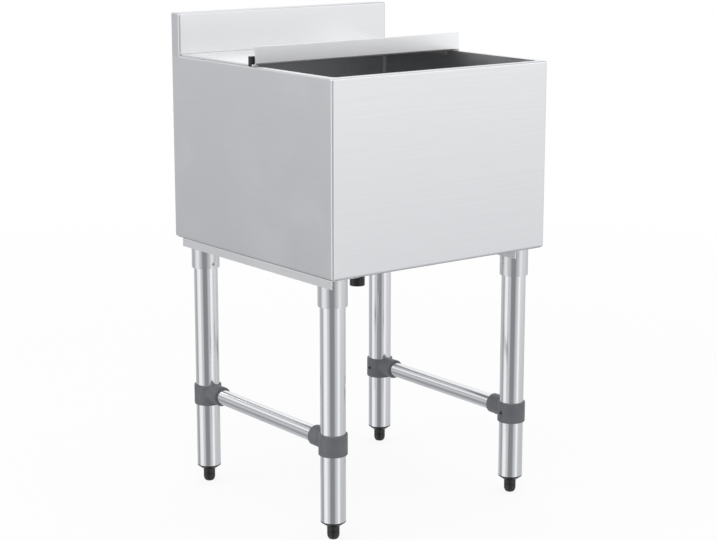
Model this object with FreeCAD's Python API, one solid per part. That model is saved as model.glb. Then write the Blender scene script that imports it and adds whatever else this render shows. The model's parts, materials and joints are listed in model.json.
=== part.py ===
import FreeCAD, Part
import math
import os

# Underbar ice bin: insulated steel box on four tube legs, with a sliding half lid, a backsplash and a drain.
# Millimetres. Origin on the floor under the middle of the box; +X right, +Y to the rear, +Z up.

Vector = FreeCAD.Vector
ACROSS = Vector(1, 0, 0)
BACK = Vector(0, 1, 0)
UP = Vector(0, 0, 1)

# Box
bin_width = 457.2
bin_depth = 470.0
rim_height = 774.0
box_height = 322.4
sheet = 1.2
wall_thickness = 13.0
corner_bend = 4.0
rim_bend = 3.0
base_bend = 3.0
bottom_return = 20.0
rear_return = 14.0
pan_inset = 3.0

# Backsplash and the ledge in front of it
splash_rise = 74.4
splash_thickness = 24.0
splash_bend = 3.0
splash_cap = 12.0
rear_lap = 18.0
ledge_width = 16.0
ledge_lip = 20.0

# Ice well
well_corner_radius = 8.0
well_floor_radius = 6.0
well_flange = 8.0
floor_insulation = 24.0
dish_depth = 6.0
dish_radius = 95.0
dish_floor_radius = 45.0

# Lid
lid_setback = 224.0
lid_rear_gap = 2.0
lid_side_inset = 3.6
lid_lift = 2.0
pull_side_inset = 8.2
lid_rise = 33.0
lid_bend = 3.0
lid_hem = 8.0
lid_edge_gap = 0.4
runner_gap = 0.2
runner_end_inset = 4.0
rib_thickness = 3.5
rib_depth = 8.0
rib_side_gap = 0.5
rib_end_inset = 25.0
bumper_depth = 9.0
bumper_height = 16.5
bumper_grip = 9.0
bumper_side_gap = 2.2
bumper_round = 1.0

# Drain
drain_flange_radius = 40.0
drain_flange_thickness = 3.5
strainer_radius = 29.0
strainer_thickness = 1.5
strainer_hole_radius = 2.4
strainer_ring_step = 6.8
strainer_rings = 3
strainer_bar_width = 7.0
strainer_screw_radius = 2.0
strainer_screw_head = 4.0
neck_radius = 19.0
neck_bore_radius = 15.0
neck_drop = 16.0
gasket_radius = 33.0
gasket_thickness = 3.0
locknut_flats = 60.0
locknut_thickness = 8.0
locknut_room = 4.0
union_flats = 46.0
union_grip = 12.0
union_lip = 4.0
tail_radius = 13.5
tail_bore_radius = 11.5
tail_drop = 79.6
tail_step = 0.8
tail_flange_thickness = 3.0
seat_clearance = 0.3
thread_clearance = 0.05

# Leg rails
rail_side_gap = 3.0
rail_front_inset = 8.0
rail_rear_inset = 18.0
rail_width = 56.0
rail_drop = 15.0
rail_thickness = 2.0
rivet_radius = 2.4
rivet_head_radius = 4.8
rivet_head_height = 2.2
rivet_edge_inset = 14.0
rivet_tail_height = 0.8
rivets_per_rail = 4

# Legs, sockets and feet
leg_diameter = 42.4
leg_wall = 1.5
leg_side_inset = 31.0
leg_front_inset = 42.0
leg_rear_inset = 48.0
leg_lift = 32.2
leg_clearance = 0.15
socket_wall = 3.35
socket_length = 49.0
set_screw_radius = 3.0
set_screw_proud = 1.4
socket_screw_rise = 8.0
insert_depth = 36.0
insert_lip = 2.0
insert_taper = 6.2
insert_tip_radius = 13.0
insert_clearance = 0.05
foot_radius = 10.5
foot_pad_radius = 6.0
foot_nose = 9.0
foot_shoulder = 1.2
foot_gap = 0.3
stem_radius = 5.0
stem_length = 44.0

# Braces and their collars
brace_diameter = 26.9
brace_wall = 1.2
brace_left_height = 168.5
brace_right_height = 153.6
brace_clearance = 0.1
collar_wall = 3.05
collar_height = 36.0
collar_drop = 3.5
collar_chamfer = 0.8
collar_fillet = 2.0
boss_radius = 17.4
boss_reach = 48.5
boss_web = 2.0
boss_screw_inset = 9.0

# Rear panel screws
panel_screw_radius = 2.0
panel_screw_head_radius = 4.2
panel_screw_head_height = 1.0
panel_screw_end_inset = 40.0
panel_screws_per_side = 3

# Places that follow from the sizes above
half_width = bin_width / 2
front_y = -bin_depth / 2
rear_y = bin_depth / 2
box_bottom = rim_height - box_height
splash_front_y = rear_y - splash_thickness
splash_top = rim_height + splash_rise
well_half = half_width - wall_thickness
well_front_y = front_y + wall_thickness
well_rear_y = splash_front_y - ledge_width
well_floor = box_bottom + sheet + floor_insulation + sheet
dish_floor = well_floor - dish_depth
foam_top = rim_height - 2 * sheet - rim_bend
pan_bottom = box_bottom - sheet
rail_web_bottom = pan_bottom - rail_thickness
lid_half = half_width - lid_side_inset
pull_half = half_width - pull_side_inset
lid_front_y = front_y + lid_setback
lid_rear_y = splash_front_y - lid_rear_gap
deck_bottom = rim_height + lid_lift
deck_top = deck_bottom + sheet
lid_top = rim_height + lid_rise
strainer_seat = dish_floor + drain_flange_thickness - strainer_thickness - seat_clearance
neck_bottom = box_bottom - neck_drop
tail_bottom = box_bottom - tail_drop
leg_radius = leg_diameter / 2
leg_bore_radius = leg_radius - leg_wall
socket_radius = leg_radius + leg_clearance + socket_wall
socket_bottom = rail_web_bottom - socket_length
insert_bottom = leg_lift - insert_lip - insert_taper
foot_top = insert_bottom - foot_gap
collar_radius = leg_radius + leg_clearance + collar_wall
brace_radius = brace_diameter / 2
boss_bore_start = leg_radius + leg_clearance + boss_web
leg_places = {
    "front_left": (-half_width + leg_side_inset, front_y + leg_front_inset),
    "front_right": (half_width - leg_side_inset, front_y + leg_front_inset),
    "rear_left": (-half_width + leg_side_inset, rear_y - leg_rear_inset),
    "rear_right": (half_width - leg_side_inset, rear_y - leg_rear_inset),
}
brace_heights = {"left": brace_left_height, "right": brace_right_height}


def box(x0, x1, y0, y1, z0, z1):
    return Part.makeBox(x1 - x0, y1 - y0, z1 - z0, Vector(x0, y0, z0))


def rod(radius, start, direction, length):
    return Part.makeCylinder(radius, length, Vector(*start), direction)


def upright(radius, x, y, z0, z1):
    return rod(radius, (x, y, z0), UP, z1 - z0)


def pipe(outer, inner, x, y, z0, z1):
    return upright(outer, x, y, z0, z1).cut(upright(inner, x, y, z0, z1))


def hexagon(flats, z0, z1):
    corner = flats / math.sqrt(3)
    turns = [math.radians(60 * side) for side in range(7)]
    outline = Part.makePolygon([Vector(corner * math.cos(a), corner * math.sin(a), z0) for a in turns])
    return Part.Face(outline).extrude(Vector(0, 0, z1 - z0))


def mirrored(shape):
    return shape.mirror(Vector(0, 0, 0), ACROSS)


def rounded_prism(half_x, y0, y1, z0, z1, radius):
    # Upright block with its four upright edges rounded
    block = box(-half_x, half_x, y0, y1, z0, z1)
    corners = [e for e in block.Edges if e.BoundBox.ZLength > (z1 - z0) / 2]
    return block.makeFillet(radius, corners)


def folded_block(half_x, y0, y1, z0, z1, upright_radius, top_radius):
    # Block with rounded front corners and rounded front and side top edges; the rear stays square
    block = box(-half_x, half_x, y0, y1, z0, z1)
    middle = (y0 + y1) / 2
    corners = [e for e in block.Edges if e.BoundBox.ZLength > (z1 - z0) / 2 and e.BoundBox.YMax < middle]
    block = block.makeFillet(upright_radius, corners)
    top = [e for e in block.Edges if e.BoundBox.ZMin > z1 - top_radius / 2 and e.BoundBox.YMin < middle]
    return block.makeFillet(top_radius, top)


def base_rounded(block, radius):
    # The block with its lower front and side edges rounded
    low, rear = block.BoundBox.ZMin, block.BoundBox.YMax
    base = [e for e in block.Edges
            if e.BoundBox.ZMax < low + radius / 2 and e.BoundBox.YMin < rear - radius / 2]
    return block.makeFillet(radius, base)


def bent_block(half_x, y0, y1, z0, z1, radius):
    # Block whose lower front edge is rounded
    block = box(-half_x, half_x, y0, y1, z0, z1)
    bend = [e for e in block.Edges if e.BoundBox.YMax < y0 + radius / 2 and e.BoundBox.ZMax < z0 + radius / 2]
    return block.makeFillet(radius, bend)


def shell_panels():
    # Front and sides are one folded wrap, turned in at the rim and the base, mitred at both front corners
    reach = rear_y + well_corner_radius + 1
    outer = folded_block(half_width, front_y, splash_front_y, box_bottom, rim_height, corner_bend, rim_bend)
    outer = outer.fuse(box(-half_width, half_width, splash_front_y, rear_y, box_bottom, rim_height))
    outer = base_rounded(outer.removeSplitter(), base_bend)
    inside = half_width - sheet
    inner = folded_block(inside, front_y + sheet, splash_front_y, box_bottom + sheet, rim_height - sheet,
                         corner_bend - sheet, rim_bend - sheet)
    inner = inner.fuse(box(-inside, inside, splash_front_y, rear_y - 3 * sheet,
                           box_bottom + sheet, rim_height - sheet))
    inner = base_rounded(inner.removeSplitter(), base_bend - sheet)
    mouth = rounded_prism(well_half, well_front_y, reach + well_corner_radius, rim_height - 2 * sheet,
                          rim_height + sheet, well_corner_radius)
    open_half = half_width - bottom_return
    underside = box(-open_half, open_half, front_y + bottom_return, reach,
                    box_bottom - sheet, box_bottom + 2 * sheet)
    rear_pocket = box(-inside, inside, rear_y - 2 * sheet, reach, box_bottom - sheet, rim_height + sheet)
    rear_half = inside - rear_return
    rear_door = box(-rear_half, rear_half, rear_y - 4 * sheet, reach, box_bottom - sheet, rim_height + sheet)
    wrap = outer.cut(inner.fuse([mouth, underside, rear_pocket, rear_door]))
    mitre = wall_thickness + well_corner_radius
    corners = [
        Vector(-half_width, front_y, 0),
        Vector(half_width, front_y, 0),
        Vector(half_width - mitre, front_y + mitre, 0),
        Vector(-half_width + mitre, front_y + mitre, 0),
        Vector(-half_width, front_y, 0),
    ]
    front_wedge = Part.Face(Part.makePolygon(corners)).extrude(Vector(0, 0, splash_top))
    sides = sorted(wrap.cut(front_wedge).Solids, key=lambda solid: solid.CenterOfMass.x)
    screw_holes = Part.makeCompound([rod(panel_screw_radius, (x, rear_y, z), -BACK, 4 * sheet)
                                     for x, z in panel_screw_places()])
    return {
        "front_panel": wrap.common(front_wedge).Solids[0],
        "left_side_panel": sides[0].cut(screw_holes),
        "right_side_panel": sides[-1].cut(screw_holes),
    }


def panel_screw_places():
    x = half_width - sheet - rear_return / 2
    low = box_bottom + panel_screw_end_inset
    step = (rim_height - panel_screw_end_inset - low) / (panel_screws_per_side - 1)
    return [(side * x, low + step * row) for side in (-1, 1) for row in range(panel_screws_per_side)]


def rear_panel():
    inside = half_width - sheet
    panel = box(-inside, inside, rear_y - 2 * sheet, rear_y - sheet, box_bottom, rim_height + rear_lap)
    lower = [e for e in panel.Edges
             if e.BoundBox.YLength > sheet / 2 and e.BoundBox.ZMax < box_bottom + sheet]
    panel = panel.makeFillet(base_bend, lower)
    holes = [rod(panel_screw_radius, (x, rear_y, z), -BACK, 4 * sheet) for x, z in panel_screw_places()]
    return panel.cut(Part.makeCompound(holes))


def rear_panel_screws():
    screws = []
    for x, z in panel_screw_places():
        head = rod(panel_screw_head_radius, (x, rear_y - sheet, z), BACK, panel_screw_head_height)
        shank = rod(panel_screw_radius, (x, rear_y - sheet, z), -BACK, 2 * sheet)
        screws.append(head.fuse(shank).removeSplitter())
    return Part.makeCompound(screws)


def bottom_pan():
    half = half_width - pan_inset
    pan = box(-half, half, front_y + pan_inset, rear_y - pan_inset, pan_bottom, box_bottom)
    holes = [upright(neck_radius + seat_clearance, 0, 0, pan_bottom, box_bottom)]
    holes += [upright(rivet_radius, x, y, pan_bottom, box_bottom) for x, y in rivet_places()]
    return pan.cut(Part.makeCompound(holes))


def rear_ledge():
    # Strip between the well and the backsplash, turned up behind the backsplash face
    back = splash_front_y + 2 * sheet
    strip = box(-well_half, well_half, well_rear_y, back, rim_height - sheet, rim_height)
    lip = box(-well_half, well_half, back - sheet, back, rim_height, rim_height + ledge_lip)
    return strip.fuse(lip).removeSplitter()


def splash_shell():
    # Folded box section that stands on the rim, open underneath
    outer = folded_block(half_width, splash_front_y, rear_y, rim_height, splash_top, corner_bend, splash_bend)
    hollow = folded_block(half_width - sheet, splash_front_y + sheet, rear_y - sheet, rim_height - sheet,
                          splash_top - sheet, corner_bend - sheet, splash_bend - sheet)
    return outer.cut(hollow)


def splash_end_zone():
    return box(half_width - splash_cap, half_width, splash_front_y, rear_y, rim_height, splash_top)


def backsplash():
    end = splash_end_zone()
    return splash_shell().cut(end.fuse(mirrored(end)))


def backsplash_end():
    # Cap that closes the section's end and wraps a little way round it
    return splash_shell().common(splash_end_zone())


def well_body(grow):
    # The well's inside when grow is 0, or its outside when grow is the sheet's thickness
    floor = well_floor - grow
    tub = rounded_prism(well_half + grow, well_front_y - grow, well_rear_y + grow, floor,
                        rim_height - sheet, well_corner_radius + grow)
    floor_edges = [e for e in tub.Edges if e.BoundBox.ZMax < floor + grow / 2 + 0.01]
    return tub.makeFillet(well_floor_radius + grow, floor_edges)


def dish_cone(grow):
    slope = (dish_radius - dish_floor_radius) / dish_depth
    rise = dish_depth + sheet
    top_radius = dish_floor_radius + slope * rise
    return Part.makeCone(dish_floor_radius, top_radius, rise, Vector(0, 0, dish_floor - grow))


def ice_well():
    flange = rounded_prism(well_half + well_flange, well_front_y - well_flange, well_rear_y + well_flange,
                           rim_height - 2 * sheet, rim_height - sheet, well_corner_radius + well_flange)
    outside = well_body(sheet).fuse([flange, dish_cone(sheet)])
    inside = well_body(0).fuse(dish_cone(0))
    drain_hole = upright(neck_radius + seat_clearance, 0, 0, dish_floor - 2 * sheet, dish_floor + sheet)
    return outside.cut(inside.fuse(drain_hole)).removeSplitter()


def foam_slabs():
    low = box_bottom + base_bend
    floor_low = box_bottom + sheet
    liner_half = well_half + sheet
    liner_front = well_front_y - sheet
    liner_rear = well_rear_y + sheet
    inside = half_width - sheet
    front_half = half_width - corner_bend
    front = box(-front_half, front_half, front_y + sheet, liner_front, low, foam_top)
    side = box(liner_half, inside, liner_front, liner_rear, low, foam_top)
    rear = box(-inside, inside, liner_rear, rear_y - 3 * sheet, low, foam_top)
    floor = box(-liner_half, liner_half, liner_front, liner_rear, floor_low, well_floor - sheet)
    hardware = upright(locknut_flats / math.sqrt(3) + locknut_room, 0, 0, floor_low, well_floor)
    floor = floor.cut(dish_cone(sheet).fuse(hardware))
    return {
        "foam_front": front,
        "foam_left": mirrored(side),
        "foam_right": side,
        "foam_rear": rear,
        "foam_floor": floor,
    }


def lid_panel():
    # Flat deck turned up at the front into a hemmed pull, and turned down along both sides
    folded = bent_block(lid_half, lid_front_y, lid_rear_y, deck_bottom, lid_top, lid_bend)
    above_deck = bent_block(lid_half + sheet, lid_front_y + sheet, lid_rear_y + sheet,
                            deck_top, lid_top + sheet, lid_bend - sheet)
    pull_rear_y = lid_front_y + lid_bend
    pull_end = box(pull_half, lid_half, lid_front_y, pull_rear_y, deck_bottom, lid_top)
    hem = box(-pull_half, pull_half, lid_front_y + sheet, lid_front_y + 2 * sheet, lid_top - lid_hem, lid_top)
    edge = box(lid_half - sheet, lid_half, pull_rear_y, lid_rear_y, rim_height + lid_edge_gap, deck_bottom)
    waste = above_deck.fuse([pull_end, mirrored(pull_end)])
    lid = folded.cut(waste).fuse([hem, edge, mirrored(edge)]).removeSplitter()
    top_edges = [e for e in lid.Edges
                 if e.BoundBox.XLength > lid_half and e.BoundBox.ZMin > lid_top - sheet / 2]
    return lid.makeFillet(sheet * 0.9, top_edges)


def lid_runner():
    # Nylon strip that slides on the rim, with a rib inside the well that keeps the lid straight
    inner = well_half - rib_side_gap - rib_thickness
    pad = box(inner, lid_half - sheet - runner_gap, lid_front_y + runner_end_inset,
              lid_rear_y - runner_end_inset, rim_height + runner_gap, deck_bottom)
    rib_rear = well_rear_y - rib_end_inset
    rib = box(inner, inner + rib_thickness, lid_front_y + rib_end_inset, rib_rear,
              rim_height - rib_depth, rim_height + runner_gap)
    return pad.fuse(rib).removeSplitter()


def lid_bumper():
    # Black block hooked over the deck's left edge, just behind the pull's bend
    front = lid_front_y + lid_bend
    outer = half_width - bumper_side_gap
    top = rim_height + bumper_height
    upper = box(lid_half - bumper_grip, outer, front, front + bumper_depth, deck_top, top)
    foot = box(lid_half, outer, front, front + bumper_depth, rim_height + lid_edge_gap, deck_top)
    block = upper.fuse(foot).removeSplitter()
    rounded = [e for e in block.Edges
               if e.BoundBox.XMin > outer - sheet / 2 or e.BoundBox.ZMin > top - sheet / 2]
    return mirrored(block.makeFillet(bumper_round, rounded))


def drain_flange():
    # Flange seated in the dished floor, with a threaded neck and a bar across the bore for the strainer screw
    top = dish_floor + drain_flange_thickness
    flange = upright(drain_flange_radius, 0, 0, dish_floor, top)
    rim = [e for e in flange.Edges if e.BoundBox.ZMin > dish_floor + drain_flange_thickness / 2]
    flange = flange.makeChamfer(drain_flange_thickness / 3, rim)
    body = flange.fuse(upright(neck_radius, 0, 0, neck_bottom, dish_floor))
    recess = upright(strainer_radius + seat_clearance, 0, 0, strainer_seat, top)
    bore = upright(neck_bore_radius, 0, 0, neck_bottom, top)
    body = body.cut(recess.fuse(bore))
    half_bar = strainer_bar_width / 2
    bar_bottom = strainer_seat - drain_flange_thickness
    bar = box(-neck_radius, neck_radius, -half_bar, half_bar, bar_bottom, strainer_seat)
    bar = bar.common(upright(neck_bore_radius + sheet, 0, 0, bar_bottom, strainer_seat))
    screw_hole = upright(strainer_screw_radius, 0, 0, bar_bottom, strainer_seat)
    return body.fuse(bar).cut(screw_hole).removeSplitter()


def drain_strainer():
    top = strainer_seat + strainer_thickness
    disc = upright(strainer_radius, 0, 0, strainer_seat, top)
    holes = [upright(strainer_screw_radius, 0, 0, strainer_seat, top)]
    for ring in range(1, strainer_rings + 1):
        count = 6 * ring
        radius = strainer_screw_head + strainer_ring_step * (ring - 0.4)
        for step in range(count):
            turn = 2 * math.pi * step / count
            holes.append(upright(strainer_hole_radius, radius * math.cos(turn), radius * math.sin(turn),
                                 strainer_seat, top))
    return disc.cut(Part.makeCompound(holes))


def strainer_screw():
    top = strainer_seat + strainer_thickness
    head = upright(strainer_screw_head, 0, 0, top, top + strainer_thickness)
    shank = upright(strainer_screw_radius, 0, 0, strainer_seat - drain_flange_thickness, top)
    crown = [e for e in head.Edges if e.BoundBox.ZMin > top + strainer_thickness / 2]
    return head.makeFillet(strainer_thickness / 2, crown).fuse(shank).removeSplitter()


def drain_gasket():
    top = dish_floor - sheet
    return pipe(gasket_radius, neck_radius + thread_clearance, 0, 0, top - gasket_thickness, top)


def drain_locknut():
    top = dish_floor - sheet - gasket_thickness
    nut = hexagon(locknut_flats, top - locknut_thickness, top)
    return nut.cut(upright(neck_radius + thread_clearance, 0, 0, top - locknut_thickness, top))


def drain_union_nut():
    # Draws the tail's flange up against the end of the neck
    lip_top = neck_bottom - tail_flange_thickness
    low = lip_top - union_lip
    nut = hexagon(union_flats, low, neck_bottom + union_grip)
    thread = upright(neck_radius + thread_clearance, 0, 0, lip_top, neck_bottom + union_grip)
    passage = upright(tail_radius + tail_step + thread_clearance, 0, 0, low, lip_top)
    return nut.cut(thread.fuse(passage))


def drain_tail():
    # A hose goes on the stem, up to the thicker root inside the union nut
    flange_bottom = neck_bottom - tail_flange_thickness
    root_bottom = flange_bottom - union_lip - tail_step
    flange = upright(neck_radius - seat_clearance, 0, 0, flange_bottom, neck_bottom)
    root = upright(tail_radius + tail_step, 0, 0, root_bottom, flange_bottom)
    stem = upright(tail_radius, 0, 0, tail_bottom, root_bottom)
    bore = upright(tail_bore_radius, 0, 0, tail_bottom, neck_bottom)
    return flange.fuse([root, stem]).cut(bore).removeSplitter()


def rivet_places():
    x = half_width - rail_side_gap - rail_width + rivet_edge_inset
    first = front_y + leg_front_inset + socket_radius + 2 * rivet_head_radius
    last = rear_y - leg_rear_inset - socket_radius - 2 * rivet_head_radius
    step = (last - first) / (rivets_per_rail - 1)
    return [(side * x, first + step * row) for side in (-1, 1) for row in range(rivets_per_rail)]


def leg_rail(left):
    # Angle rail: flat web under the pan, with a flange turned down along its left edge.
    # Both rails are the same part.
    ends = (front_y + rail_front_inset, rear_y - rail_rear_inset)
    web = box(left, left + rail_width, *ends, rail_web_bottom, pan_bottom)
    flange = box(left, left + rail_thickness, *ends, pan_bottom - rail_drop, pan_bottom)
    holes = [upright(rivet_radius, x, y, rail_web_bottom, pan_bottom)
             for x, y in rivet_places() if x * left > 0]
    rail = web.fuse(flange).removeSplitter()
    bend = [e for e in rail.Edges if e.BoundBox.YLength > rail_width and e.BoundBox.XMax < left + sheet / 2
            and e.BoundBox.ZMin > pan_bottom - sheet / 2]
    return rail.makeFillet(rail_thickness, bend).cut(Part.makeCompound(holes))


def rail_rivets():
    rivets = []
    for x, y in rivet_places():
        head = Part.makeCone(rivet_head_radius / 2, rivet_head_radius, rivet_head_height,
                             Vector(x, y, rail_web_bottom - rivet_head_height))
        shank = upright(rivet_radius, x, y, rail_web_bottom, box_bottom)
        tail = upright(rivet_radius * 1.5, x, y, box_bottom, box_bottom + rivet_tail_height)
        rivets.append(head.fuse([shank, tail]).removeSplitter())
    return Part.makeCompound(rivets)


def inward(y):
    # Along Y, towards the middle of the bin
    return BACK if y < 0 else -BACK


def socket_screw(x, y):
    start = y + inward(y).y * (leg_radius + thread_clearance)
    length = socket_radius + set_screw_proud - leg_radius - thread_clearance
    return rod(set_screw_radius, (x, start, socket_bottom + socket_screw_rise), inward(y), length)


def leg_socket(x, y):
    sleeve = pipe(socket_radius, leg_radius + leg_clearance, x, y, socket_bottom, rail_web_bottom)
    return sleeve.cut(socket_screw(x, y))


def leg_tube(x, y):
    return pipe(leg_radius, leg_bore_radius, x, y, leg_lift, rail_web_bottom)


def leg_insert(x, y):
    # Plug pressed into the tube's end, with a tapered lip under it and a threaded bore
    plug = upright(leg_bore_radius - insert_clearance, x, y, leg_lift, leg_lift + insert_depth)
    lip = upright(leg_radius, x, y, leg_lift - insert_lip, leg_lift)
    taper = Part.makeCone(insert_tip_radius, leg_radius, insert_taper, Vector(x, y, insert_bottom))
    bore = upright(stem_radius + thread_clearance, x, y, insert_bottom, leg_lift + insert_depth)
    return plug.fuse([lip, taper]).removeSplitter().cut(bore)


def foot(x, y):
    # Bullet foot with its threaded stem, turned about the leg's axis
    stem_top = foot_top + stem_length
    curve = Part.BezierCurve()
    curve.setPoles([
        Vector(foot_pad_radius, 0, 0),
        Vector((foot_pad_radius + foot_radius) / 2, 0, 0),
        Vector(foot_radius, 0, foot_nose / 2),
        Vector(foot_radius, 0, foot_nose),
    ])
    above = [
        Vector(foot_radius, 0, foot_nose),
        Vector(foot_radius, 0, foot_top - foot_shoulder),
        Vector(foot_radius - foot_shoulder, 0, foot_top),
        Vector(stem_radius, 0, foot_top),
        Vector(stem_radius, 0, stem_top - foot_shoulder),
        Vector(stem_radius - foot_shoulder, 0, stem_top),
        Vector(0, 0, stem_top),
        Vector(0, 0, 0),
        Vector(foot_pad_radius, 0, 0),
    ]
    outline = Part.Wire([curve.toShape()] + Part.makePolygon(above).Edges)
    turned = Part.Face(outline).revolve(Vector(0, 0, 0), UP, 360)
    turned.translate(Vector(x, y, 0))
    return turned


def brace_height(x):
    return brace_heights["left" if x < 0 else "right"]


def collar_screws_at(x, y):
    # One set screw under the boss holds the brace, one through the sleeve holds the leg
    z = brace_height(x)
    away = inward(y).y
    screw_y = y + away * (boss_reach - boss_screw_inset)
    under_boss = rod(set_screw_radius, (x, screw_y, z - boss_radius - set_screw_proud),
                     UP, boss_radius + set_screw_proud - brace_radius - thread_clearance)
    side = -math.copysign(1, x)
    through_sleeve = rod(set_screw_radius, (x + side * (leg_radius + thread_clearance), y, z - collar_drop),
                         ACROSS * side, collar_radius + set_screw_proud - leg_radius - thread_clearance)
    return [under_boss, through_sleeve]


def brace_collar(x, y):
    # Sleeve round the leg with a boss, towards the middle of the bin, that takes the brace's end
    z = brace_height(x)
    middle = z - collar_drop
    sleeve = upright(collar_radius, x, y, middle - collar_height / 2, middle + collar_height / 2)
    sleeve = sleeve.makeChamfer(collar_chamfer, [e for e in sleeve.Edges if e.BoundBox.ZLength < sheet])
    boss = rod(boss_radius, (x, y, z), inward(y), boss_reach)
    tip = max(boss.Edges, key=lambda e: abs(e.BoundBox.Center.y - y))
    boss = boss.makeChamfer(collar_chamfer, [tip])
    leg_bore = upright(leg_radius + leg_clearance, x, y, middle - collar_height, middle + collar_height)
    start = y + inward(y).y * boss_bore_start
    brace_bore = rod(brace_radius + brace_clearance, (x, start, z), inward(y), boss_reach)
    cuts = Part.makeCompound([leg_bore, brace_bore] + collar_screws_at(x, y))
    body = sleeve.fuse(boss).removeSplitter()
    seam = [e for e in body.Edges if isinstance(e.Curve, Part.BSplineCurve)]
    return body.makeFillet(collar_fillet, seam).cut(cuts).removeSplitter()


def brace(side):
    x, front = leg_places["front_" + side]
    rear = leg_places["rear_" + side][1]
    seat = boss_bore_start + brace_clearance
    start = (x, front + seat, brace_heights[side])
    length = rear - front - 2 * seat
    return rod(brace_radius, start, BACK, length).cut(rod(brace_radius - brace_wall, start, BACK, length))


def all_parts():
    parts = shell_panels()
    parts.update(foam_slabs())
    parts["rear_panel"] = rear_panel()
    parts["rear_panel_screws"] = rear_panel_screws()
    parts["bottom_pan"] = bottom_pan()
    parts["rear_ledge"] = rear_ledge()
    parts["backsplash"] = backsplash()
    parts["backsplash_end_right"] = backsplash_end()
    parts["backsplash_end_left"] = mirrored(backsplash_end())
    parts["ice_well"] = ice_well()
    parts["lid_panel"] = lid_panel()
    parts["lid_runner_right"] = lid_runner()
    parts["lid_runner_left"] = mirrored(lid_runner())
    parts["lid_bumper"] = lid_bumper()
    parts["drain_flange"] = drain_flange()
    parts["drain_strainer"] = drain_strainer()
    parts["drain_strainer_screw"] = strainer_screw()
    parts["drain_gasket"] = drain_gasket()
    parts["drain_locknut"] = drain_locknut()
    parts["drain_union_nut"] = drain_union_nut()
    parts["drain_tail"] = drain_tail()
    parts["leg_rail_left"] = leg_rail(rail_side_gap - half_width)
    parts["leg_rail_right"] = leg_rail(half_width - rail_side_gap - rail_width)
    parts["rail_rivets"] = rail_rivets()
    for side in brace_heights:
        parts["brace_" + side] = brace(side)
    for place, (x, y) in leg_places.items():
        parts["leg_" + place] = leg_tube(x, y)
        parts["leg_socket_" + place] = leg_socket(x, y)
        parts["leg_insert_" + place] = leg_insert(x, y)
        parts["foot_" + place] = foot(x, y)
        parts["brace_collar_" + place] = brace_collar(x, y)
    parts["socket_screws"] = Part.makeCompound([socket_screw(x, y) for x, y in leg_places.values()])
    parts["collar_screws"] = Part.makeCompound([screw for x, y in leg_places.values()
                                                for screw in collar_screws_at(x, y)])
    return parts


os.makedirs("parts", exist_ok=True)
for name, shape in all_parts().items():
    shape.exportStep(f"parts/{name}.step")
    print(name, round(shape.Volume))
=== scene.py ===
import json
import math
import bmesh
import bpy
from mathutils import Matrix, Vector


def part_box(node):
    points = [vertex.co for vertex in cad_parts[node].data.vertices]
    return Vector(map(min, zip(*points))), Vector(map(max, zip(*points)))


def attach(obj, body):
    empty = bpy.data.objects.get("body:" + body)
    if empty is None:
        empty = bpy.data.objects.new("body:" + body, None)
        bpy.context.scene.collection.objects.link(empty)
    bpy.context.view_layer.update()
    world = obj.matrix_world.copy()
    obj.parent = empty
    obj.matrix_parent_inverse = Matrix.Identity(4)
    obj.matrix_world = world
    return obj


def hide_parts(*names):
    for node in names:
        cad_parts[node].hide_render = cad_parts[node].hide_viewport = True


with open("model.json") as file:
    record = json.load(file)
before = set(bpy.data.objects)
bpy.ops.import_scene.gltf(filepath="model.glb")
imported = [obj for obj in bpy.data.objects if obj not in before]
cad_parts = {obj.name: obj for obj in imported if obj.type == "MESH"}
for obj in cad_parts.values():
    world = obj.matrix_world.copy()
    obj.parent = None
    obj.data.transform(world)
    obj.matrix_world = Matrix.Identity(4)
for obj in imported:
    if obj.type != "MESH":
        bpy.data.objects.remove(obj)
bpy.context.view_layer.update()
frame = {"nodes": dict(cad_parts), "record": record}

nodes = frame["nodes"]
places = ("front_left", "front_right", "rear_left", "rear_right")
print("frame in place,", len(nodes), "nodes")


# shared node groups

def newGroup(name, inputs, outputs):
    group = bpy.data.node_groups.new(name, "ShaderNodeTree")
    for label, kind, value in inputs:
        socket = group.interface.new_socket(name=label, in_out="INPUT", socket_type=kind)
        socket.default_value = value
    for label, kind in outputs:
        group.interface.new_socket(name=label, in_out="OUTPUT", socket_type=kind)
    return group, group.nodes.new("NodeGroupInput"), group.nodes.new("NodeGroupOutput")


def addNode(tree, kind, **settings):
    node = tree.nodes.new(kind)
    for key, value in settings.items():
        setattr(node, key, value)
    return node


def mathNode(tree, operation, first, second=None, clamp=False):
    node = addNode(tree, "ShaderNodeMath", operation=operation, use_clamp=clamp)
    for slot, value in zip(node.inputs, (first, second)):
        if value is None:
            continue
        if isinstance(value, (int, float)):
            slot.default_value = value
        else:
            tree.links.new(value, slot)
    return node.outputs[0]


def noiseNode(tree, vector, scale, detail=2.0, roughness=0.5):
    node = addNode(tree, "ShaderNodeTexNoise")
    node.inputs["Scale"].default_value = scale
    node.inputs["Detail"].default_value = detail
    node.inputs["Roughness"].default_value = roughness
    tree.links.new(vector, node.inputs["Vector"])
    return node.outputs["Fac"]


def rangeNode(tree, value, low, high, outLow=0.0, outHigh=1.0):
    node = addNode(tree, "ShaderNodeMapRange")
    for key, number in (("From Min", low), ("From Max", high), ("To Min", outLow), ("To Max", outHigh)):
        node.inputs[key].default_value = number
    tree.links.new(value, node.inputs["Value"])
    return node.outputs["Result"]


grainLines = {"flatFrom": 0.6, "fineDetail": 3.0, "fineRoughness": 0.65,
              "bandScale": 0.12, "bandDetail": 2.0, "spread": (0.3, 0.7)}


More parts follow.
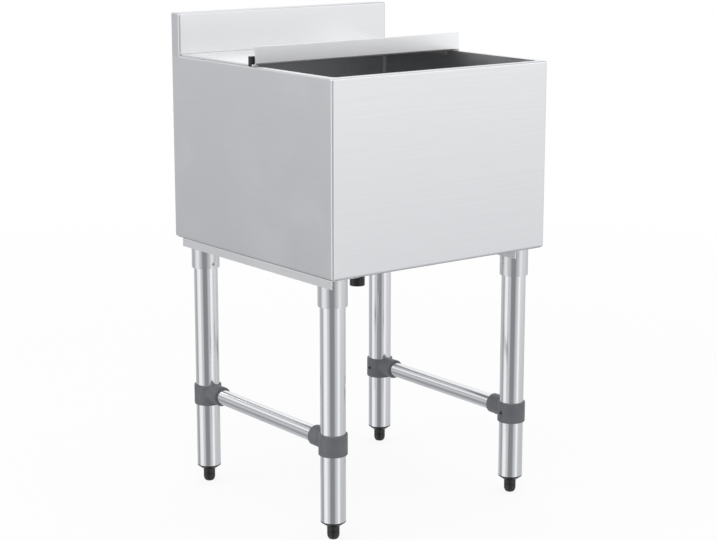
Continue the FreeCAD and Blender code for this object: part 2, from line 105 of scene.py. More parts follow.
def makeBrushGrain():
    # lines left by the belt: one direction on upright faces, another on flat ones
    look = grainLines
    group, before, after = newGroup(
        "brushGrain",
        [("Upright Stretch", "NodeSocketVector", (5, 5, 600)),
         ("Flat Stretch", "NodeSocketVector", (5, 600, 5))],
        [("Streak", "NodeSocketFloat"), ("Band", "NodeSocketFloat")])
    links = group.links
    where = addNode(group, "ShaderNodeTexCoord").outputs["Object"]
    split = addNode(group, "ShaderNodeSeparateXYZ")
    links.new(addNode(group, "ShaderNodeNewGeometry").outputs["Normal"], split.inputs[0])
    flat = mathNode(group, "GREATER_THAN", mathNode(group, "ABSOLUTE", split.outputs["Z"]), look["flatFrom"])
    stretch = addNode(group, "ShaderNodeMix", data_type="VECTOR")
    links.new(flat, stretch.inputs["Factor"])
    links.new(before.outputs["Upright Stretch"], stretch.inputs[4])
    links.new(before.outputs["Flat Stretch"], stretch.inputs[5])
    scaled = addNode(group, "ShaderNodeVectorMath", operation="MULTIPLY")
    links.new(where, scaled.inputs[0])
    links.new(stretch.outputs[1], scaled.inputs[1])
    fine = noiseNode(group, scaled.outputs[0], 1.0, look["fineDetail"], look["fineRoughness"])
    wide = noiseNode(group, scaled.outputs[0], look["bandScale"], look["bandDetail"])
    links.new(rangeNode(group, fine, *look["spread"]), after.inputs["Streak"])
    links.new(rangeNode(group, wide, *look["spread"]), after.inputs["Band"])
    return group


def makeSheetRipple():
    # slow waves of thin sheet that has been folded and welded
    group, before, after = newGroup(
        "sheetRipple", [("Size", "NodeSocketFloat", 4.0)], [("Height", "NodeSocketFloat")])
    where = addNode(group, "ShaderNodeTexCoord").outputs["Object"]
    wave = addNode(group, "ShaderNodeTexNoise")
    wave.inputs["Detail"].default_value = 1.0
    group.links.new(where, wave.inputs["Vector"])
    group.links.new(before.outputs["Size"], wave.inputs["Scale"])
    group.links.new(wave.outputs["Fac"], after.inputs["Height"])
    return group


wipedPatches = {"Detail": 5.0, "Roughness": 0.6, "Distortion": 0.6}
wipedSpread = (0.48, 0.72)


def makeHandMarks():
    # wiped patches and finger marks that dull the finish a little
    group, before, after = newGroup(
        "handMarks", [("Size", "NodeSocketFloat", 9.0)], [("Mask", "NodeSocketFloat")])
    where = addNode(group, "ShaderNodeTexCoord").outputs["Object"]
    patches = addNode(group, "ShaderNodeTexNoise")
    for key, value in wipedPatches.items():
        patches.inputs[key].default_value = value
    group.links.new(where, patches.inputs["Vector"])
    group.links.new(before.outputs["Size"], patches.inputs["Scale"])
    group.links.new(rangeNode(group, patches.outputs["Fac"], *wipedSpread), after.inputs["Mask"])
    return group


dropRings = {"radius": 0.22, "width": 0.05, "patchScale": 7.0, "patchSpread": (0.5, 0.62)}


def makeWaterMarks():
    # rings left by drops that dried
    look = dropRings
    group, before, after = newGroup(
        "waterMarks", [("Drops", "NodeSocketFloat", 60.0)], [("Mask", "NodeSocketFloat")])
    where = addNode(group, "ShaderNodeTexCoord").outputs["Object"]
    cells = addNode(group, "ShaderNodeTexVoronoi")
    group.links.new(where, cells.inputs["Vector"])
    group.links.new(before.outputs["Drops"], cells.inputs["Scale"])
    ring = mathNode(group, "ABSOLUTE", mathNode(group, "SUBTRACT", cells.outputs["Distance"], look["radius"]))
    thin = rangeNode(group, ring, 0.0, look["width"], 1.0, 0.0)
    some = rangeNode(group, noiseNode(group, where, look["patchScale"]), *look["patchSpread"])
    group.links.new(mathNode(group, "MULTIPLY", thin, some, clamp=True), after.inputs["Mask"])
    return group


mouldCloud = {"scale": 45.0, "detail": 4.0, "spread": (0.35, 0.65)}


def makeMouldSkin():
    # fine spark texture of moulded plastic, and its slight cloudiness
    group, before, after = newGroup("mouldSkin", [("Size", "NodeSocketFloat", 1400.0)],
                                    [("Height", "NodeSocketFloat"), ("Cloud", "NodeSocketFloat")])
    where = addNode(group, "ShaderNodeTexCoord").outputs["Object"]
    grains = addNode(group, "ShaderNodeTexNoise")
    grains.inputs["Detail"].default_value = 2.0
    group.links.new(where, grains.inputs["Vector"])
    group.links.new(before.outputs["Size"], grains.inputs["Scale"])
    group.links.new(grains.outputs["Fac"], after.inputs["Height"])
    cloud = noiseNode(group, where, mouldCloud["scale"], mouldCloud["detail"])
    group.links.new(rangeNode(group, cloud, *mouldCloud["spread"]), after.inputs["Cloud"])
    return group


dustSpecks = {"scale": 220.0, "detail": 5.0, "roughness": 0.7, "spread": (0.35, 0.75)}


def makeFloorDust():
    # pale dust that thins out with height above the floor
    group, before, after = newGroup(
        "floorDust", [("Reach", "NodeSocketFloat", 0.08)], [("Mask", "NodeSocketFloat")])
    where = addNode(group, "ShaderNodeTexCoord").outputs["Object"]
    split = addNode(group, "ShaderNodeSeparateXYZ")
    group.links.new(where, split.inputs[0])
    share = mathNode(group, "DIVIDE", split.outputs["Z"], before.outputs["Reach"])
    fall = mathNode(group, "SUBTRACT", 1.0, share, clamp=True)
    grains = noiseNode(group, where, dustSpecks["scale"], dustSpecks["detail"], dustSpecks["roughness"])
    speck = rangeNode(group, grains, *dustSpecks["spread"])
    group.links.new(mathNode(group, "MULTIPLY", fall, speck, clamp=True), after.inputs["Mask"])
    return group


groups = {
    "brushGrain": makeBrushGrain(),
    "sheetRipple": makeSheetRipple(),
    "handMarks": makeHandMarks(),
    "waterMarks": makeWaterMarks(),
    "mouldSkin": makeMouldSkin(),
    "floorDust": makeFloorDust(),
}
print("node groups made:", len(groups))


# materials

def newMaterial(name):
    material = bpy.data.materials.new(name)
    material.use_nodes = True
    return material, material.node_tree, material.node_tree.nodes["Principled BSDF"]


def placeGroup(tree, name, **values):
    node = addNode(tree, "ShaderNodeGroup", node_tree=groups[name])
    for key, value in values.items():
        node.inputs[key].default_value = value
    return node


def mixColour(tree, factor, first, second):
    node = addNode(tree, "ShaderNodeMix", data_type="RGBA")
    tree.links.new(factor, node.inputs["Factor"])
    for slot, value in ((node.inputs[6], first), (node.inputs[7], second)):
        if isinstance(value, tuple):
            slot.default_value = (*value, 1.0)
        else:
            tree.links.new(value, slot)
    return node.outputs[2]


def bumpNode(tree, height, distance, under=None):
    node = addNode(tree, "ShaderNodeBump")
    node.inputs["Distance"].default_value = distance
    tree.links.new(height, node.inputs["Height"])
    if under is not None:
        tree.links.new(under, node.inputs["Normal"])
    return node.outputs["Normal"]


def steelLook(name, look):
    material, tree, shader = newMaterial(name)
    links = tree.links
    stretches = {"Upright Stretch": look["upright"], "Flat Stretch": look["flat"]}
    grain = placeGroup(tree, "brushGrain", **stretches)
    ripple = placeGroup(tree, "sheetRipple", Size=look["rippleSize"])
    marks = placeGroup(tree, "handMarks", Size=look["markSize"])
    shade = mathNode(tree, "MULTIPLY", grain.outputs["Streak"], look["streakShade"])
    shade = mathNode(tree, "ADD", shade, mathNode(tree, "MULTIPLY", grain.outputs["Band"], look["bandShade"]))
    colour = mixColour(tree, shade, look["colour"], look["lowColour"])
    smoothest = look["rough"] - look["roughSpread"]
    rough = rangeNode(tree, grain.outputs["Band"], 0.0, 1.0, smoothest, look["rough"])
    rough = mathNode(tree, "ADD", rough, mathNode(tree, "MULTIPLY", marks.outputs["Mask"], look["markRough"]))
    if "drops" in look:
        water = placeGroup(tree, "waterMarks", Drops=look["drops"])
        lime = mathNode(tree, "MULTIPLY", water.outputs["Mask"], look["limeShade"])
        colour = mixColour(tree, lime, colour, look["limeColour"])
        crust = mathNode(tree, "MULTIPLY", water.outputs["Mask"], look["limeRough"])
        rough = mathNode(tree, "ADD", rough, crust)
    links.new(colour, shader.inputs["Base Color"])
    links.new(rough, shader.inputs["Roughness"])
    waves = bumpNode(tree, ripple.outputs["Height"], look["rippleDepth"])
    links.new(bumpNode(tree, grain.outputs["Streak"], look["grainDepth"], waves), shader.inputs["Normal"])
    shader.inputs["Metallic"].default_value = 1.0
    return material


def plasticLook(name, look):
    material, tree, shader = newMaterial(name)
    links = tree.links
    skin = placeGroup(tree, "mouldSkin", Size=look["grainSize"])
    dust = placeGroup(tree, "floorDust", Reach=look["dustReach"])
    marks = placeGroup(tree, "handMarks", Size=look["markSize"])
    colour = mixColour(tree, skin.outputs["Cloud"], look["colour"], look["cloudColour"])
    dusty = mathNode(tree, "MULTIPLY", dust.outputs["Mask"], look["dustAmount"])
    links.new(mixColour(tree, dusty, colour, look["dustColour"]), shader.inputs["Base Color"])
    rough = rangeNode(tree, marks.outputs["Mask"], 0.0, 1.0, look["rough"], look["rough"] + look["markRough"])
    rough = mathNode(tree, "ADD", rough, mathNode(tree, "MULTIPLY", dusty, look["dustRough"]), clamp=True)
    links.new(rough, shader.inputs["Roughness"])
    links.new(bumpNode(tree, skin.outputs["Height"], look["grainDepth"]), shader.inputs["Normal"])
    return material


shellLook = {
    "colour": (0.88, 0.88, 0.885), "lowColour": (0.76, 0.76, 0.77), "streakShade": 0.45, "bandShade": 0.14,
    "rough": 0.34, "roughSpread": 0.03, "markSize": 7.0, "markRough": 0.05,
    "upright": (9.0, 9.0, 2200.0), "flat": (9.0, 2200.0, 9.0), "grainDepth": 5.0e-6,
    "rippleSize": 3.2, "rippleDepth": 3.0e-4,
}
# painted shade: the backsplash's steel is darker than the shell's, standing in for the shade on it
splashPaintedShadeLook = dict(shellLook, colour=(0.823, 0.823, 0.83), lowColour=(0.735, 0.735, 0.745))
# painted shade: the bottom pan's steel is much darker than the shell's, standing in for the shade under the
# box
panPaintedShadeLook = dict(shellLook, rough=0.5, colour=(0.464, 0.469, 0.474), lowColour=(0.37, 0.375, 0.38),
               rippleDepth=1.5e-4)
# painted light: the lid's steel is paler than the shell's, so its flat deck reads as lit from above
lidPaintedLightLook = dict(shellLook, rough=0.42, colour=(0.967, 0.967, 0.972), lowColour=(0.895, 0.895, 0.9),
               rippleDepth=2.0e-4)
# painted shade: the well's steel is darker than the shell's, standing in for the shade inside the well; the
# lime rings are real water marks
wellPaintedShadeLook = dict(shellLook, rough=0.4, colour=(0.638, 0.643, 0.648), lowColour=(0.515, 0.52, 0.525),
                markRough=0.12, drops=85.0, limeColour=(0.8, 0.8, 0.78), limeShade=0.3, limeRough=0.25)
railLook = dict(shellLook, rough=0.5, colour=(0.841, 0.841, 0.846), lowColour=(0.77, 0.77, 0.78),
                upright=(4.0, 4.0, 300.0), flat=(300.0, 4.0, 4.0), rippleDepth=1.0e-4)
legLook = dict(shellLook, rough=0.16, colour=(0.881, 0.886, 0.891), lowColour=(0.81, 0.815, 0.82),
               upright=(1500.0, 1500.0, 8.0), flat=(1500.0, 1500.0, 8.0), grainDepth=1.5e-6,
               rippleSize=9.0, rippleDepth=4.0e-5)
socketLook = dict(legLook, rough=0.26, colour=(0.812, 0.815, 0.822), lowColour=(0.732, 0.737, 0.742))
braceLook = dict(legLook, upright=(1500.0, 8.0, 1500.0), flat=(1500.0, 8.0, 1500.0))
# the drain keeps the well's darker colour, painted shade
drainPaintedShadeLook = dict(wellPaintedShadeLook, rough=0.3, upright=(90.0, 90.0, 600.0), flat=(500.0, 500.0, 20.0),
                 rippleDepth=5.0e-5)
screwLook = dict(shellLook, rough=0.28, colour=(0.6, 0.6, 0.6), lowColour=(0.42, 0.42, 0.42),
                 upright=(600.0, 600.0, 600.0), flat=(600.0, 600.0, 600.0), streakShade=0.5,
                 rippleDepth=2.0e-5)
darkScrewLook = dict(screwLook, colour=(0.12, 0.122, 0.125), lowColour=(0.08, 0.081, 0.083))

collarLook = {
    "colour": (0.135, 0.142, 0.152), "cloudColour": (0.115, 0.12, 0.13),
    "grainSize": 1500.0, "grainDepth": 1.2e-5, "rough": 0.42, "markSize": 30.0, "markRough": 0.12,
    "dustReach": 0.1, "dustAmount": 0.0, "dustColour": (0.4, 0.39, 0.37), "dustRough": 0.3,
}
blackLook = dict(collarLook, colour=(0.008, 0.008, 0.009), cloudColour=(0.013, 0.013, 0.014), rough=0.3,
                 dustReach=0.05, dustAmount=0.06)
nylonLook = dict(collarLook, colour=(0.72, 0.71, 0.67), cloudColour=(0.66, 0.65, 0.6), rough=0.5)
rubberLook = dict(collarLook, colour=(0.02, 0.02, 0.021), cloudColour=(0.03, 0.03, 0.03), rough=0.7)
foamLook = dict(collarLook, colour=(0.78, 0.68, 0.42), cloudColour=(0.7, 0.6, 0.35), rough=0.85,
                grainSize=500.0, grainDepth=4.0e-4)

materials = {
    "shell_steel": steelLook("shellSteel", shellLook),
    "well_steel": steelLook("wellSteelPaintedShade", wellPaintedShadeLook),
    "lid_steel": steelLook("lidSteelPaintedLight", lidPaintedLightLook),
    "rail_steel": steelLook("railSteel", railLook),
    "leg_steel": steelLook("legSteel", legLook),
    "drain_steel": steelLook("drainSteelPaintedShade", drainPaintedShadeLook),
    "fastener_steel": steelLook("screwSteel", screwLook),
    "collar_plastic": plasticLook("collarPlastic", collarLook),
    "black_plastic": plasticLook("blackPlastic", blackLook),
    "runner_nylon": plasticLook("runnerNylon", nylonLook),
    "gasket_rubber": plasticLook("gasketRubber", rubberLook),
    "insulation_foam": plasticLook("insulationFoam", foamLook),
}
# sheets, tubes and screws whose finish differs from the rest of their slot; the backsplash, the bottom pan,
# the well and the drain carry painted shade, and the lid painted light
ownFinish = {
    "braceSteel": (braceLook, ("brace_left", "brace_right")),
    "splashSteelPaintedShade": (splashPaintedShadeLook, ("backsplash", "backsplash_end_left", "backsplash_end_right")),
    "panSteelPaintedShade": (panPaintedShadeLook, ("bottom_pan",)),
    "socketSteel": (socketLook, ["leg_socket_" + place for place in places]),
    "darkScrewSteel": (darkScrewLook, ("collar_screws",)),
}
finishes = {entry["node"]: materials[entry["material_slot"]] for entry in frame["record"]["subparts"]}
for name, (look, members) in ownFinish.items():
    finishes.update(dict.fromkeys(members, steelLook(name, look)))
for name, finish in finishes.items():
    for slot in nodes[name].material_slots:
        slot.material = finish
print("materials on:", len(materials) + len(ownFinish))


# small hardware: meshes skinned from loops of points

def ringLoop(sides, height, radiusAt):
    turns = [2 * math.pi * step / sides for step in range(sides)]
    return [Vector((radiusAt(a) * math.cos(a), radiusAt(a) * math.sin(a), height)) for a in turns]


def roundLoops(profile, sides):
    return [ringLoop(sides, height, lambda a, r=radius: r) for radius, height in profile]


def skinLoops(work, loops, place, ring=False):
    # joins each loop to the next; a ring also joins the last to the first, else both ends are capped
    rows = [[work.verts.new(place @ point) for point in loop] for loop in loops]
    pairs = list(zip(rows, rows[1:]))
    if ring:
        pairs.append((rows[-1], rows[0]))
    for low, high in pairs:
        for step in range(len(low)):
            after = (step + 1) % len(low)
            work.faces.new((low[step], low[after], high[after], high[step]))
    if not ring:
        work.faces.new(reversed(rows[0]))
        work.faces.new(rows[-1])


def finishPiece(name, work, material, sharpAngle=35.0):
    bmesh.ops.recalc_face_normals(work, faces=work.faces)
    mesh = bpy.data.meshes.new(name)
    work.to_mesh(mesh)
    work.free()
    mesh.shade_smooth()
    mesh.set_sharp_from_angle(angle=math.radians(sharpAngle))
    mesh.materials.append(material)
    piece = bpy.data.objects.new(name, mesh)
    bpy.context.collection.objects.link(piece)
    return piece


samePoint = 1e-6  # corners closer than this are one


def solidBoxes(nodeName):
    # lowest and highest corner of each separate solid of a node
    work = bmesh.new()
    work.from_mesh(nodes[nodeName].data)
    bmesh.ops.remove_doubles(work, verts=work.verts, dist=samePoint)
    left = set(work.verts)
    boxes = []
    while left:
        stack = [left.pop()]
        low, high = stack[0].co.copy(), stack[0].co.copy()
        while stack:
            vert = stack.pop()
            low = Vector(map(min, low, vert.co))
            high = Vector(map(max, high, vert.co))
            for edge in vert.link_edges:
                other = edge.other_vert(vert)
                if other in left:
                    left.remove(other)
                    stack.append(other)
        boxes.append((low, high))
    work.free()
    return sorted(boxes, key=lambda corners: tuple(round(c, 4) for c in corners[0]))


def aimedPlace(spot, outward):
    # local +Z points outward at the spot
    return Matrix.Translation(spot) @ Vector(outward).to_track_quat("Z", "Y").to_matrix().to_4x4()


def hexRadius(flats):
    # distance from the middle to a hexagon's side at an angle
    third = math.pi / 3
    return lambda a: flats / 2 / math.cos((a % third) - third / 2)


setScrewLook = {"sides": 36, "fit": 0.97, "keyShare": 0.5, "keyDepth": 0.45,
                "pitch": 0.0005, "threadDepth": 0.0002, "threadShare": 0.6}


def setScrews(name, nodeName):
    # hex-socket set screws with their last threads showing
    look = setScrewLook
    work = bmesh.new()
    for low, high in solidBoxes(nodeName):
        size = high - low
        axis = min(range(3), key=lambda i: size[i])  # shorter than it is wide
        middle = (low + high) / 2
        sign = -1.0 if axis == 2 or middle[axis] > 0 else 1.0  # down, or towards the middle of the bin
        outward = Vector((0, 0, 0))
        outward[axis] = sign
        spot = middle + outward * size[axis] / 2
        length = size[axis]
        radius = look["fit"] * max(size) / 2
        profile = [(radius, -length)]
        threads = int(length * look["threadShare"] / look["pitch"])
        for thread in range(threads, 0, -1):
            depth = look["threadDepth"] if thread % 2 else 0.0
            profile.append((radius - depth, -thread * look["pitch"]))
        profile.append((radius - 2 * look["threadDepth"], 0.0))
        loops = roundLoops(profile, look["sides"])
        key = hexRadius(2 * radius * look["keyShare"])
        loops.append(ringLoop(look["sides"], 0.0, key))
        loops.append(ringLoop(look["sides"], -length * look["keyDepth"], key))
        skinLoops(work, loops, aimedPlace(spot, outward))
    piece = finishPiece(name, work, finishes[nodeName])
    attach(piece, "bin")
    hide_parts(nodeName)


rivetLook = {"sides": 32, "rings": 6, "brim": 0.0003,
             "pinShare": 0.34, "pinDepth": 0.0007, "pinTaper": 0.92, "pinTip": 0.6, "pinCrown": 0.6}


def railRivets():
    # blind rivets: domed head with the pin's broken end sunk in the middle
    look = rivetLook
    work = bmesh.new()
    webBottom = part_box("leg_front_left")[1].z
    for low, high in solidBoxes("rail_rivets"):
        spot = Vector(((low.x + high.x) / 2, (low.y + high.y) / 2, webBottom))
        radius = (high.x - low.x) / 2
        height = webBottom - low.z
        pin = radius * look["pinShare"]
        profile = [(radius, -look["brim"] / 2), (radius, look["brim"])]
        for step in range(1, look["rings"] + 1):
            share = step / look["rings"]
            across = radius + (pin - radius) * share
            profile.append((across, look["brim"] + (height - look["brim"]) * math.sin(share * math.pi / 2)))
        profile.append((pin * look["pinTaper"], height - look["pinDepth"]))
        profile.append((pin * look["pinTip"], height - look["pinDepth"] * look["pinCrown"]))
        skinLoops(work, roundLoops(profile, look["sides"]), aimedPlace(spot, (0, 0, -1)))
    piece = finishPiece("railRivets", work, materials["fastener_steel"])
    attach(piece, "bin")
    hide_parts("rail_rivets")


panelScrewLook = {"sides": 48, "crossReach": 0.62, "crossHalf": 0.17, "crossDepth": 0.75, "crossTaper": 0.7,
                  "crown": 0.55, "shoulder": (0.95, 0.55), "dome": (0.82, 0.96), "flatShare": 0.7}


def crossRadius(reach, half):
    # outline of a cross recess, as a distance from the middle at an angle
    least = 1e-6  # keeps the division away from zero

    def radiusAt(a):
        c, s = max(abs(math.cos(a)), least), max(abs(math.sin(a)), least)
        return max(min(reach / c, half / s), min(reach / s, half / c))
    return radiusAt


def rearPanelScrews():
    # pan-head screws with a cross recess
    look = panelScrewLook
    work = bmesh.new()
    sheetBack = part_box("rear_panel")[1].y
    for low, high in solidBoxes("rear_panel_screws"):
        spot = Vector(((low.x + high.x) / 2, sheetBack, (low.z + high.z) / 2))
        radius = (high.x - low.x) / 2
        height = high.y - sheetBack
        crown = height * look["crown"]
        shoulderOut, shoulderUp = look["shoulder"]
        domeOut, domeUp = look["dome"]
        profile = [(radius, 0.0), (radius, crown),
                   (radius * shoulderOut, crown + (height - crown) * shoulderUp),
                   (radius * domeOut, height * domeUp), (radius * look["flatShare"], height)]
        loops = roundLoops(profile, look["sides"])
        reach, half = radius * look["crossReach"], radius * look["crossHalf"]
        cross = crossRadius(reach, half)
        deep = crossRadius(reach * look["crossTaper"], half * look["crossTaper"])
        loops.append(ringLoop(look["sides"], height, cross))
        loops.append(ringLoop(look["sides"], height * (1 - look["crossDepth"]), deep))
        skinLoops(work, loops, aimedPlace(spot, (0, 1, 0)))
    piece = finishPiece("rearPanelScrews", work, materials["fastener_steel"])
    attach(piece, "bin")
    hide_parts("rear_panel_screws")


footLook = {
    "sides": 48, "noseSteps": 10, "nose": 0.009, "padShare": 0.571, "padRim": 0.8, "padHollow": 0.0004,
    "shoulder": 0.0012, "shoulderRound": 0.3, "groove": 0.0006, "grooveHeight": 0.0135,
    "stemShare": 0.476, "stemLength": 0.044, "pitch": 0.0015, "threadDepth": 0.0007, "stepsPerTurn": 6,
    "tipCut": 1.6, "threadSharp": 60.0,
}


def footSeat(place):
    # where a foot stands, its radius and the height of its bullet
    low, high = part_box("foot_" + place)
    spot = Matrix.Translation(((low.x + high.x) / 2, (low.y + high.y) / 2, low.z))
    return spot, (high.x - low.x) / 2, high.z - low.z - footLook["stemLength"]


def bulletFoot(place):
    # black bullet with a flat pad, a rounded nose and a turned groove
    look = footLook
    spot, radius, top = footSeat(place)
    pad = radius * look["padShare"]
    profile = [(pad * look["padRim"], look["padHollow"]), (pad, 0.0)]
    for step in range(1, look["noseSteps"] + 1):
        t = step / look["noseSteps"]
        s = 1 - t
        across = s ** 3 * pad + 3 * s * s * t * (pad + radius) / 2 + 3 * s * t * t * radius + t ** 3 * radius
        rise = 3 * s * t * t * look["nose"] / 2 + t ** 3 * look["nose"]
        profile.append((across, rise))
    groove, ring, shoulder = look["groove"], look["grooveHeight"], look["shoulder"]
    eased = shoulder * look["shoulderRound"]
    profile += [(radius, ring), (radius - groove, ring + groove), (radius - groove, ring + 2 * groove),
                (radius, ring + 3 * groove), (radius, top - shoulder),
                (radius - eased, top - eased), (radius - shoulder, top)]
    work = bmesh.new()
    skinLoops(work, roundLoops(profile, look["sides"]), spot)
    bullet = finishPiece("bulletFoot_" + place, work, materials["black_plastic"])
    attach(bullet, place + "_foot")
    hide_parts("foot_" + place)


def footStem(place):
    # threaded stem that screws into the leg's insert
    look = footLook
    spot, radius, top = footSeat(place)
    stem = radius * look["stemShare"]
    depth = look["threadDepth"]
    steps = int(look["stemLength"] / look["pitch"] * look["stepsPerTurn"])
    loops = [ringLoop(look["sides"], top - look["shoulder"], lambda a: stem - depth)]
    for step in range(1, steps):
        rise = step * look["pitch"] / look["stepsPerTurn"]

        def threadAt(a, rise=rise):
            share = (rise / look["pitch"] - a / (2 * math.pi)) % 1.0
            return stem - depth * abs(2 * share - 1)
        loops.append(ringLoop(look["sides"], top + rise, threadAt))
    tip = top + look["stemLength"]
    loops.append(ringLoop(look["sides"], tip, lambda a: stem - look["tipCut"] * depth))
    work = bmesh.new()
    skinLoops(work, loops, spot)
    thread = finishPiece("footStem_" + place, work, materials["fastener_steel"], look["threadSharp"])
    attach(thread, place + "_foot")


weldLook = {"sides": 120, "leg": 0.001, "ripples": 54, "rippleShare": 0.16, "sink": 0.0003, "sharp": 80.0,
            "bulge": ((0.25, 0.95), (0.75, 0.75), (0.95, 0.25))}


def socketWeld(place):
    # bead round the socket's top where it is welded to the rail
    look = weldLook
    low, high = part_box("leg_socket_" + place)
    spot = Matrix.Translation(((low.x + high.x) / 2, (low.y + high.y) / 2, high.z))
    radius = (high.x - low.x) / 2
    leg, sink = look["leg"], look["sink"]

    def bead(out, down):
        def radiusAt(a):
            return radius + out * (1 + look["rippleShare"] * math.sin(look["ripples"] * a))
        return ringLoop(look["sides"], -down, radiusAt)
    loops = [bead(-sink, -sink), bead(-sink, leg)]
    loops += [bead(out * leg, down * leg) for out, down in look["bulge"]]
    loops.append(bead(leg, -sink))
    work = bmesh.new()
    skinLoops(work, loops, spot, ring=True)
    piece = finishPiece("socketWeld_" + place, work, materials["rail_steel"], look["sharp"])
    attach(piece, "bin")


unionNutLook = {
    "ribs": 28, "sidesPerRib": 8, "ribDepth": 0.0011, "ribMiddle": 0.5, "ribFoot": 0.6,
    "chamfer": 0.0014, "ribStart": 1.6, "ribEnd": 2.2, "brow": 1.4,
    "boreShare": 0.832, "lip": 0.004, "lipShare": 0.78, "gap": 0.0002,
}


def unionNut():
    # round nut with grip ribs, open at the top for the neck and at the bottom for the tail
    look = unionNutLook
    low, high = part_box("drain_union_nut")
    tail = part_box("drain_tail")
    flats = (high.y - low.y) / 2
    height = high.z - low.z
    spot = Matrix.Translation(((low.x + high.x) / 2, (low.y + high.y) / 2, low.z))
    sides = look["ribs"] * look["sidesPerRib"]
    depth, chamfer = look["ribDepth"], look["chamfer"]

    def ribbed(a):
        return flats + depth * (abs(math.sin(look["ribs"] * a / 2)) - look["ribMiddle"])
    mouth = ((tail[1].x - tail[0].x) / 2 + look["gap"]) * look["lipShare"]
    inner = flats * look["boreShare"]
    foot = flats - depth * look["ribFoot"]
    rim = flats - depth - chamfer
    loops = roundLoops([(inner, height), (inner, look["lip"]), (mouth, look["lip"]), (mouth, 0.0),
                        (rim, 0.0), (foot, chamfer)], sides)
    loops.append(ringLoop(sides, chamfer * look["ribStart"], ribbed))
    loops.append(ringLoop(sides, height - chamfer * look["ribEnd"], ribbed))
    loops += roundLoops([(foot, height - chamfer * look["brow"]), (rim, height)], sides)
    work = bmesh.new()
    skinLoops(work, loops, spot, ring=True)
    piece = finishPiece("unionNut", work, materials["black_plastic"])
    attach(piece, "bin")
    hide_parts("drain_union_nut")


setScrews("socketSetScrews", "socket_screws")
setScrews("collarSetScrews", "collar_screws")
railRivets()
rearPanelScrews()
unionNut()
for place in places:
    bulletFoot(place)
    footStem(place)
    socketWeld(place)
print("hardware placed")


# stage, light and camera

stageLook = {
    "floorColour": (0.95, 0.95, 0.955), "floorSize": 60.0, "floorRough": 0.9,
    "fillColour": (1.0, 1.0, 1.0), "fillStrength": 0.75,
    # the floor shows its own shade near the feet and fades to plain white with distance
    "floorGlow": 0.88, "shadowReach": 1.2, "whiteFrom": 3.0,
    # what polished steel sees at three heights: degrees round from the camera's side, and brightness
    "cameraBearing": -127.4,
    "eyeLevel": [(-180, 0.66), (-128, 0.66), (-114, 0.67), (-97, 0.72), (-86, 0.96), (-56, 1.0), (-47, 0.68),
                 (-31, 0.62), (-24, 0.28), (13, 0.28), (22, 0.6), (39, 0.66), (47, 1.0), (66, 1.15),
                 (104, 1.15), (117, 0.8), (180, 0.66)],
    "lowDown": [(-180, 0.66), (-128, 0.58), (-120, 0.5), (-113, 0.34), (-97, 0.38), (-86, 0.96), (-56, 1.0),
                (-47, 0.68), (-31, 0.62), (-24, 0.28), (13, 0.28), (22, 0.6), (39, 0.66), (47, 1.0),
                (60, 0.98), (70, 0.62), (104, 0.58), (117, 0.6), (180, 0.66)],
    "highUp": [(-180, 1.0), (-146, 1.0), (-132, 0.45), (-97, 0.45), (-86, 1.0), (180, 1.0)],
    "lowHeight": -0.32, "eyeHeight": 0.02, "highHeight": 0.16,
    # the ceiling's brightness by the sine of the height, dimmer overhead so that flat tops don't burn out
    "ceiling": [(0.0, 1.0), (0.28, 1.0), (0.36, 0.97), (0.48, 0.97), (0.56, 0.6), (1.0, 0.55)],
    "ceilingFrom": 0.26, "ceilingTo": 0.36,
    "whiteTint": (0.99, 0.995, 1.0), "greyTint": (0.935, 0.955, 1.0), "greyBelow": 0.7,
}


def litByCamera(tree):
    path = addNode(tree, "ShaderNodeLightPath")
    seen = mathNode(tree, "MAXIMUM", path.outputs["Is Camera Ray"], path.outputs["Is Glossy Ray"])
    return mathNode(tree, "MAXIMUM", seen, path.outputs["Is Transmission Ray"])


def makeFloor():
    mesh = bpy.data.meshes.new("studioFloor")
    half = stageLook["floorSize"] / 2
    corners = [(-half, -half, 0), (half, -half, 0), (half, half, 0), (-half, half, 0)]
    mesh.from_pydata(corners, [], [(0, 1, 2, 3)])
    floor = bpy.data.objects.new("studioFloor", mesh)
    bpy.context.collection.objects.link(floor)
    material, tree, shader = newMaterial("studioFloor")
    links = tree.links
    shader.inputs["Base Color"].default_value = (*stageLook["floorColour"], 1.0)
    shader.inputs["Roughness"].default_value = stageLook["floorRough"]
    shader.inputs["Specular IOR Level"].default_value = 0.0
    glow = addNode(tree, "ShaderNodeEmission")
    mix = addNode(tree, "ShaderNodeMixShader")
    away = addNode(tree, "ShaderNodeVectorMath", operation="LENGTH")
    links.new(addNode(tree, "ShaderNodeTexCoord").outputs["Object"], away.inputs[0])
    white = rangeNode(tree, away.outputs["Value"], stageLook["shadowReach"], stageLook["whiteFrom"],
                      stageLook["floorGlow"], 1.0)
    links.new(mathNode(tree, "MULTIPLY", litByCamera(tree), white), mix.inputs[0])
    links.new(shader.outputs[0], mix.inputs[1])
    links.new(glow.outputs[0], mix.inputs[2])
    links.new(mix.outputs[0], tree.nodes["Material Output"].inputs["Surface"])
    mesh.materials.append(material)
    floor.visible_glossy = False  # steel sees the even surround instead


def levelRamp(tree, value, levels):
    ramp = addNode(tree, "ShaderNodeValToRGB")
    stops = ramp.color_ramp.elements
    for place, level in levels:
        stop = stops[0] if place == 0.0 else stops[-1] if place == 1.0 else stops.new(place)
        tint = stageLook["greyTint" if level < stageLook["greyBelow"] else "whiteTint"]
        stop.color = (*[level * part for part in tint], 1.0)
    tree.links.new(value, ramp.inputs["Fac"])
    return ramp.outputs["Color"]


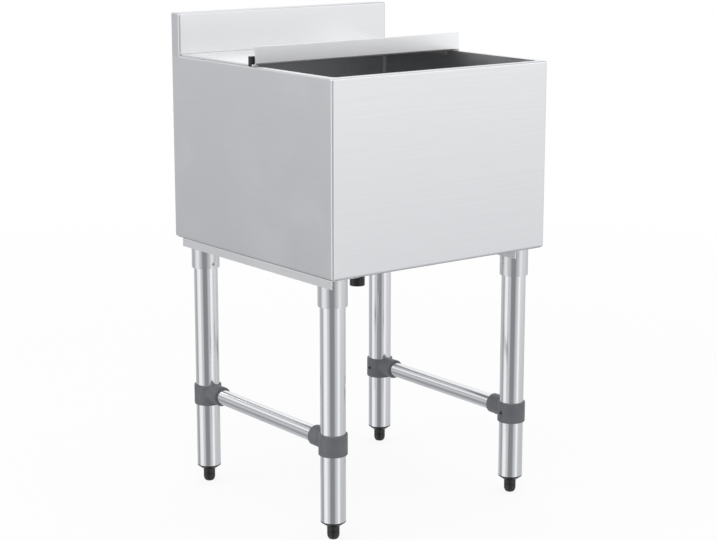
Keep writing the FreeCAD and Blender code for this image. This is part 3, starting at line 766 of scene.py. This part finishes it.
def makeWorld():
    world = bpy.data.worlds.new("studioWorld")
    world.use_nodes = True
    tree = world.node_tree
    links = tree.links
    split = addNode(tree, "ShaderNodeSeparateXYZ")
    links.new(addNode(tree, "ShaderNodeTexCoord").outputs["Generated"], split.inputs[0])
    bearing = mathNode(tree, "ARCTAN2", split.outputs["Y"], split.outputs["X"])
    turned = mathNode(tree, "SUBTRACT", bearing, math.radians(stageLook["cameraBearing"] - 180))
    share = mathNode(tree, "FRACT", mathNode(tree, "DIVIDE", turned, 2 * math.pi))
    height = split.outputs["Z"]
    rings = {}
    for ring in ("lowDown", "eyeLevel", "highUp"):
        levels = [((degrees + 180) / 360, level) for degrees, level in stageLook[ring]]
        rings[ring] = levelRamp(tree, share, levels)
    sunk = rangeNode(tree, height, stageLook["eyeHeight"], stageLook["lowHeight"])
    surround = mixColour(tree, sunk, rings["eyeLevel"], rings["lowDown"])
    raised = rangeNode(tree, height, 0.0, stageLook["highHeight"])
    surround = mixColour(tree, raised, surround, rings["highUp"])
    above = rangeNode(tree, height, stageLook["ceilingFrom"], stageLook["ceilingTo"])
    surround = mixColour(tree, above, surround, levelRamp(tree, height, stageLook["ceiling"]))
    path = addNode(tree, "ShaderNodeLightPath")
    colour = mixColour(tree, path.outputs["Is Glossy Ray"], stageLook["fillColour"], surround)
    sky = tree.nodes["Background"]
    links.new(colour, sky.inputs["Color"])
    strength = rangeNode(tree, litByCamera(tree), 0.0, 1.0, stageLook["fillStrength"], 1.0)
    links.new(strength, sky.inputs["Strength"])
    bpy.context.scene.world = world


lamps = {
    "keyPanel": {"place": (-2.4, -2.6, 3.0), "aim": (0.0, 0.0, 0.5), "size": (3.0, 3.0), "watts": 20.0},
    "topPanel": {"place": (0.4, 0.0, 3.2), "aim": (0.0, 0.0, 0.6), "size": (2.4, 2.4), "watts": 10.0},
    "rearPanel": {"place": (1.9, 2.5, 2.9), "aim": (0.0, 0.0, 0.7), "size": (2.4, 1.6), "watts": 5.0},
    "frontPanel": {"place": (2.0, -2.8, 1.8), "aim": (0.0, 0.0, 0.6), "size": (2.4, 1.4), "watts": 6.0},
    "sidePanel": {"place": (-3.2, 0.8, 2.0), "aim": (0.0, 0.0, 0.6), "size": (2.0, 1.2), "watts": 18.0},
}


def makeLamps():
    for name, lamp in lamps.items():
        light = bpy.data.lights.new(name, "AREA")
        light.shape = "RECTANGLE"
        light.size, light.size_y = lamp["size"]
        light.energy = lamp["watts"]
        holder = bpy.data.objects.new(name, light)
        holder.location = lamp["place"]
        aim = Vector(lamp["aim"]) - Vector(lamp["place"])
        holder.rotation_euler = aim.to_track_quat("-Z", "Y").to_euler()
        bpy.context.collection.objects.link(holder)


cameraView = {
    "place": (-1.9262, -2.523, 1.0921), "pitch": 77.683, "turn": -37.384, "lens": 92.254, "sensor": 36.0,
}


def makeCamera():
    data = bpy.data.cameras.new("photoCamera")
    data.sensor_fit = "HORIZONTAL"
    data.sensor_width = cameraView["sensor"]
    data.lens = cameraView["lens"]
    camera = bpy.data.objects.new("photoCamera", data)
    camera.location = cameraView["place"]
    camera.rotation_euler = (math.radians(cameraView["pitch"]), 0.0, math.radians(cameraView["turn"]))
    bpy.context.collection.objects.link(camera)
    bpy.context.scene.camera = camera


makeFloor()
makeWorld()
makeLamps()
makeCamera()
bpy.context.scene.view_settings.view_transform = "Standard"
print("stage, lamps and camera set")
